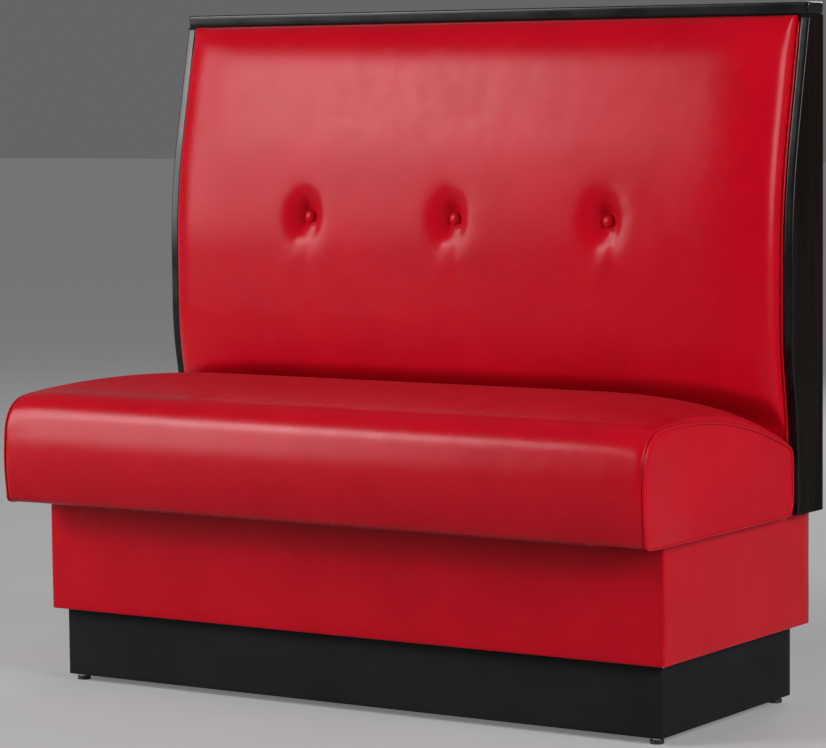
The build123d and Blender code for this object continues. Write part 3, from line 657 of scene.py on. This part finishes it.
def back_cushion():
    """The padded back as one skin: a face over the bow, and sides that run back to the board."""
    bend = 1 - (1 - np.sin(np.linspace(0, math.pi / 2, PAD_EDGE_LINES))) ** PAD_CROWDING
    round_x, round_z = PAD_HALF - PAD_SIDE_ROUND, PAD_HIGH - PAD_TOP_ROUND
    xs = list(np.linspace(0, round_x, PAD_COLUMNS)[:-1]) + list(round_x + PAD_SIDE_ROUND * bend)
    xs = [-x for x in xs[:0:-1]] + xs
    zs = list(np.linspace(PAD_LOW, round_z, PAD_ROWS)[:-1]) + list(round_z + PAD_TOP_ROUND * bend)
    points = []
    for z in zs:
        for x in xs:
            set_back = pad_set(x, z) + tuft_set(x, z)
            points.append((x / 1000, REAR - behind_bow(z, set_back) / 1000, z / 1000))
    n, m = len(xs), len(zs)
    corners = [r * n + c for r in range(m - 1) for c in range(n - 1)]
    faces = [(k, k + 1, k + n + 1, k + n) for k in corners]
    border = list(range(n)) + [r * n + n - 1 for r in range(1, m)]
    border += [(m - 1) * n + c for c in range(n - 2, -1, -1)] + [r * n for r in range(m - 2, 0, -1)]
    rear, count = len(points), len(border)
    for k in border:
        x, _, z = points[k]
        points.append((x, REAR - behind_bow(z * 1000, PAD_DEEP) / 1000, z))
    for j in range(count):
        ahead = (j + 1) % count
        faces.append((border[ahead], border[j], rear + j, rear + ahead))
    return points, faces


def back_cord(side, name):
    """Covered cord in the groove between the back cushion and an end panel."""
    heights = np.arange(*BACK_CORD_SPAN)
    path = [(side * BACK_CORD_X, REAR - behind_bow(z, BACK_CORD_SET) / 1000, z / 1000) for z in heights]
    points, faces = loops_mesh(tube(path, BACK_CORD_RADIUS, BACK_CORD_SIDES))
    make("back_cord_" + name, points, faces, "red_vinyl", replaces=["back_welt_" + name])


# Radius and rise of a button's dome, from its middle to under its rim, in millimetres
BUTTON_PROFILE = (
    (0.0, 6.4), (2.2, 6.25), (4.4, 5.8), (6.6, 5.0), (8.6, 3.9),
    (10.2, 2.7), (11.2, 1.5), (11.5, 0.6), (11.1, 0.0), (8, -0.1),
)
BUTTON_SIDES = 48
# The gathers round its rim: their number, their depth as a share of the radius, and the radii over which they grow
GATHERS, GATHER_DEPTH, GATHER_FROM, GATHER_WIDTH = 12, 0.018, 6, 5.5


def covered_button(name):
    """A vinyl-covered button, domed, with small gathers round its rim."""
    middle_x, rear, middle_z = BUTTONS[name]
    sides, rings = BUTTON_SIDES, len(BUTTON_PROFILE) - 1
    points = [(0, -BUTTON_PROFILE[0][1], 0)]
    for radius, rise in BUTTON_PROFILE[1:]:
        for k in range(sides):
            a = 2 * math.pi * k / sides
            wave = GATHER_DEPTH * math.sin(a * GATHERS + 0.7 * math.sin(a * 5))
            gather = 1 + wave * max(radius - GATHER_FROM, 0) / GATHER_WIDTH
            points.append((radius * gather * math.cos(a), -rise, radius * gather * math.sin(a)))
    faces = [(0, 1 + (k + 1) % sides, 1 + k) for k in range(sides)]
    for i in range(rings - 1):
        faces += [tuple(reversed(f)) for f in bridge(1 + i * sides, 1 + (i + 1) * sides, sides)]
    faces.append(tuple(1 + (rings - 1) * sides + k for k in range(sides)))
    placed = [(x / 1000 + middle_x, y / 1000 + rear, z / 1000 + middle_z) for x, y, z in points]
    make("back_cap_" + name, placed, faces, "red_vinyl", replaces=["back_button_" + name])


points, faces = back_cushion()
back = make("back_cushion", points, faces, "red_vinyl", replaces=["back_cover", "back_foam"])
for side, name in SIDES:
    back_cord(side, name)
for name in BUTTONS:
    covered_button(name)


# Wrapped base and plinth skin: a closed profile swept round three sides

# Parts of a skin's profile that lie further in than this are its edges and inner face, and carry no ripple
RIPPLED_FROM = -0.0008
# The coarse and the fine ripple: their scales along x, y and z, their shift in y, and their share
RIPPLES = (((7, 7, 11), 0, 1), ((23, 23, 19), 5, 0.5))
# Spacing and corner points of a swept line, and how far a skin stops short of its edges
SIDE_STEP, CORNER_POINTS, SKIN_SHORT = 0.012, 9, 0.0001
OUTER_POINTS, INNER_POINTS = 15, 5


def three_sides(half, front, rear, corner, step=SIDE_STEP):
    """Points and outward normals round the left, front and right, with rounded corners."""
    left = [(-half, y, -1, 0) for y in np.arange(rear, front + corner, -step)]
    for a in np.linspace(0, math.pi / 2, CORNER_POINTS):
        nx, ny = -math.cos(a), -math.sin(a)
        left.append((-half + corner + corner * nx, front + corner + corner * ny, nx, ny))
    middle = [(x, front, 0, -1) for x in np.arange(-half + corner + step, half - corner - step / 2, step)]
    right = [(-x, y, -nx, ny) for x, y, nx, ny in reversed(left)]
    return left + middle + right


def skin_profile(low, high, thick, edge):
    """The closed outline of a thin upright skin with eased edges, as (outward, z) pairs."""
    outer = [(0.0, z) for z in np.linspace(low + 2 * edge, high - 2 * edge, OUTER_POINTS)]
    upper, lower = high - SKIN_SHORT, low + SKIN_SHORT
    top = [(-0.3 * edge, high - edge * 0.7), (-edge * 0.9, upper), (-thick, upper)]
    inner = [(-thick, z) for z in np.linspace(high - 2 * edge, low + 2 * edge, INNER_POINTS)]
    bottom = [(-thick, lower), (-edge * 0.9, lower), (-0.3 * edge, low + edge * 0.7)]
    return outer + top + inner + bottom


def wrap(name, slot, node, line, profile, ripple=0.0):
    """A thin skin round three sides, whose face may ripple a little."""
    loops = []
    for x, y, nx, ny in line:
        loop = []
        for out, z in profile:
            shift = out
            if ripple and out > RIPPLED_FROM:
                for (sx, sy, sz), offset, share in RIPPLES:
                    shift += share * ripple * noise.noise(Vector((x * sx, y * sy + offset, z * sz)))
            loop.append((x + nx * shift, y + ny * shift, z))
        loops.append(loop)
    points, faces = loops_mesh(loops)
    make(name, points, faces, slot, replaces=[node])


base_line = three_sides(half=0.5615, front=-0.185, rear=0.276, corner=0.004)
base_profile = skin_profile(low=0.119, high=BASE_TOP, thick=0.0012, edge=0.0011)
wrap("base_wrap", "red_vinyl", "base_cover", base_line, base_profile, ripple=0.0004)
plinth_line = three_sides(half=0.5455, front=-0.164, rear=0.244, corner=0.0022)
plinth_profile = skin_profile(low=0.010, high=0.119, thick=0.001, edge=0.0008)
wrap("plinth_skin", "plinth_laminate", "plinth_kick_skin", plinth_line, plinth_profile)


# Edge moulding: a crowned strip with a stem that stands in the board's kerf

# The head's rise, how flat its crown is and how round its edges; its points and how they crowd to its edges
HEAD_RISE, HEAD_FLATNESS, HEAD_POWER = 0.003, 5, 0.4
HEAD_POINTS, HEAD_CROWDING = 27, 1.4
# Half the stem's thickness, and how far in it ends
STEM_HALF, STEM_END = 0.0009, 0.012
# An end panel's middle and half thickness, and the spacing of its moulding's sections in millimetres
PANEL_X, PANEL_HALF, PANEL_STEP = 0.576, 0.008, 6.0
# The cap's half length, front, corner, thickness and spacing, and how far its moulding leans in towards the bottom
CAP_HALF, CAP_FRONT, CAP_CORNER, CAP_THICK, CAP_STEP = 0.584, REAR - 0.047, 0.006, 0.019, 0.006
CAP_LEAN = 0.0016
# Half length of the stem along the cap's front, and the middle, half width and start of the ones along its ends
FRONT_STEM_HALF = 0.57
END_STEM_X, END_STEM_HALF, END_STEM_START = 0.5765, 0.0045, 0.014


def moulding_head(half):
    """Crowned head of the strip as (across, setback) pairs in metres, from one edge to the other."""
    head = []
    for u in np.linspace(-1, 1, HEAD_POINTS):
        u = math.copysign(1 - (1 - abs(u)) ** HEAD_CROWDING, u)
        head.append((half * u, HEAD_RISE * (1 - (1 - abs(u) ** HEAD_FLATNESS) ** HEAD_POWER)))
    return head


def panel_moulding(side, name):
    """Moulding up the bowed front edge of an end panel, with its stem."""
    stem = [(STEM_HALF, HEAD_RISE), (STEM_HALF, STEM_END), (-STEM_HALF, STEM_END), (-STEM_HALF, HEAD_RISE)]
    profile = moulding_head(PANEL_HALF) + stem
    loops = []
    for z in np.concatenate([np.arange(BASE_TOP_MM, PANEL_TOP_MM - 1, PANEL_STEP), [PANEL_TOP_MM]]):
        depths = [behind_bow(z, 1000 * inward) / 1000 for _, inward in profile]
        loops.append([(side * PANEL_X + u, REAR - depth, z / 1000) for (u, _), depth in zip(profile, depths)])
    points, faces = loops_mesh(loops)
    make("panel_moulding_" + name, points, faces, "edge_moulding", replaces=["end_panel_edging_" + name])


def cap_moulding():
    """Moulding round the cap's front and ends, with a straight stem along each side."""
    middle = PANEL_TOP + CAP_THICK / 2
    head = [(u, inward + CAP_LEAN * (0.5 - u / CAP_THICK)) for u, inward in moulding_head(CAP_THICK / 2)]
    loops = []
    for x, y, nx, ny in three_sides(CAP_HALF, CAP_FRONT, REAR, CAP_CORNER, CAP_STEP):
        loops.append([(x - nx * inward, y - ny * inward, middle + u) for u, inward in head])
    points, faces = loops_mesh(loops)
    stems = [(-FRONT_STEM_HALF, FRONT_STEM_HALF, CAP_FRONT + HEAD_RISE, CAP_FRONT + STEM_END)]
    for side, _ in SIDES:
        x = side * END_STEM_X
        stems.append((x - END_STEM_HALF, x + END_STEM_HALF, CAP_FRONT + END_STEM_START, REAR))
    for x0, x1, y0, y1 in stems:
        first = len(points)
        for u in (-STEM_HALF, STEM_HALF):
            points += [(x, y, middle + u) for x, y in ((x0, y0), (x1, y0), (x1, y1), (x0, y1))]
        faces += [(first + 3, first + 2, first + 1, first), (first + 4, first + 5, first + 6, first + 7)]
        faces += bridge(first, first + 4, 4)
    make("cap_moulding", points, faces, "edge_moulding", replaces=["top_cap_edging"])


for side, name in SIDES:
    panel_moulding(side, name)
cap_moulding()


# Studio: floor, lights, camera

# The floor's half width, its two greys, and what the camera and mirrors see on top of them
FLOOR_HALF = 30
FLOOR_PALE, FLOOR_DARK = (0.31, 0.31, 0.31), (0.3, 0.3, 0.3)
FLOOR_SEEN = (0.14, 0.14, 0.142)
# The sky's light, and the sky that the camera and mirrors see
SKY = (0.09, 0.09, 0.09, 1)
SKY_SEEN = (0.13, 0.13, 0.134, 1)
# Name, place, target, width, height and watts
LAMPS = (
    ("key", (-3.3, -2.75, 2.01), (-0.1, 0, 0.7), 3.0, 2.72, 200),
    ("key_core", (-2.76, -3.33, 2.65), (-0.1, 0, 0.7), 1.2, 0.9, 46),
    ("fill", (3.9, -0.9, 1.8), (0.3, 0, 0.5), 1.8, 1.8, 158),
    ("rear_fill", (-0.6, 4.8, 2.3), (0, 0.3, 0.5), 2.0, 1.6, 80),
)
# The photograph's camera, fitted to the booth's straight edges
CAMERA_PLACE = (2.867299, -4.360498, 0.958524)
CAMERA_AHEAD = (-0.54513051, 0.83385517, -0.08670805)
CAMERA_ACROSS = (0.83743275, 0.54645298, -0.00977416)
CAMERA_UP = (-0.03923164, 0.07794035, 0.99618582)
FOCAL_PIXELS, PHOTO_WIDTH, SENSOR = 3365.21, 826, 36


def pale_floor():
    """A matt floor that the camera and mirrors see a little paler, with the shadows kept."""
    p = Paint("pale_floor", Roughness=0.9, Specular_IOR_Level=0.1, Emission_Strength=1)
    tone = p.spread(p.noise(3, 3))
    path = p.node("LightPath")
    seen = p.math("MAXIMUM", path.outputs["Is Camera Ray"], path.outputs["Is Glossy Ray"])
    seen = p.math("MAXIMUM", seen, path.outputs["Is Transmission Ray"])
    p.link(p.blend(seen, (0, 0, 0), FLOOR_SEEN), p.bsdf.inputs["Emission Color"])
    return p.finish(p.blend(tone, FLOOR_PALE, FLOOR_DARK))


def add_floor():
    mesh = bpy.data.meshes.new("floor")
    corners = [(x * FLOOR_HALF, y * FLOOR_HALF, 0) for x, y in ((-1, -1), (1, -1), (1, 1), (-1, 1))]
    mesh.from_pydata(corners, [], [(0, 1, 2, 3)])
    floor = bpy.data.objects.new("floor", mesh)
    bpy.context.collection.objects.link(floor)
    mesh.materials.append(pale_floor())


def add_world():
    """A dim, even sky that the camera and mirrors see a little paler."""
    world = bpy.data.worlds.new("studio")
    bpy.context.scene.world = world
    world.use_nodes = True
    tree = world.node_tree
    tree.nodes.clear()
    out = tree.nodes.new("ShaderNodeOutputWorld")
    sky = tree.nodes.new("ShaderNodeBackground")
    seen = tree.nodes.new("ShaderNodeBackground")
    path = tree.nodes.new("ShaderNodeLightPath")
    either = tree.nodes.new("ShaderNodeMath")
    both = tree.nodes.new("ShaderNodeMath")
    pick = tree.nodes.new("ShaderNodeMixShader")
    either.operation = both.operation = "MAXIMUM"
    sky.inputs[0].default_value = SKY
    seen.inputs[0].default_value = SKY_SEEN
    tree.links.new(path.outputs["Is Camera Ray"], either.inputs[0])
    tree.links.new(path.outputs["Is Transmission Ray"], either.inputs[1])
    tree.links.new(either.outputs[0], both.inputs[0])
    tree.links.new(path.outputs["Is Glossy Ray"], both.inputs[1])
    tree.links.new(both.outputs[0], pick.inputs[0])
    tree.links.new(sky.outputs[0], pick.inputs[1])
    tree.links.new(seen.outputs[0], pick.inputs[2])
    tree.links.new(pick.outputs[0], out.inputs[0])


def add_lamp(name, place, target, width, height, watts):
    data = bpy.data.lights.new(name, "AREA")
    data.shape, data.size, data.size_y, data.energy = "RECTANGLE", width, height, watts
    lamp = bpy.data.objects.new(name, data)
    lamp.location = place
    lamp.rotation_euler = (Vector(target) - Vector(place)).to_track_quat("-Z", "Y").to_euler()
    bpy.context.collection.objects.link(lamp)


def add_camera():
    data = bpy.data.cameras.new("camera")
    data.sensor_width = SENSOR
    data.lens = FOCAL_PIXELS / PHOTO_WIDTH * SENSOR
    cam = bpy.data.objects.new("camera", data)
    basis = Matrix((CAMERA_ACROSS, CAMERA_UP, -Vector(CAMERA_AHEAD))).transposed().to_4x4()
    cam.matrix_world = Matrix.Translation(CAMERA_PLACE) @ basis
    bpy.context.collection.objects.link(cam)
    bpy.context.scene.camera = cam


add_floor()
add_world()
for lamp in LAMPS:
    add_lamp(*lamp)
add_camera()
bpy.context.scene.view_settings.view_transform = "Standard"
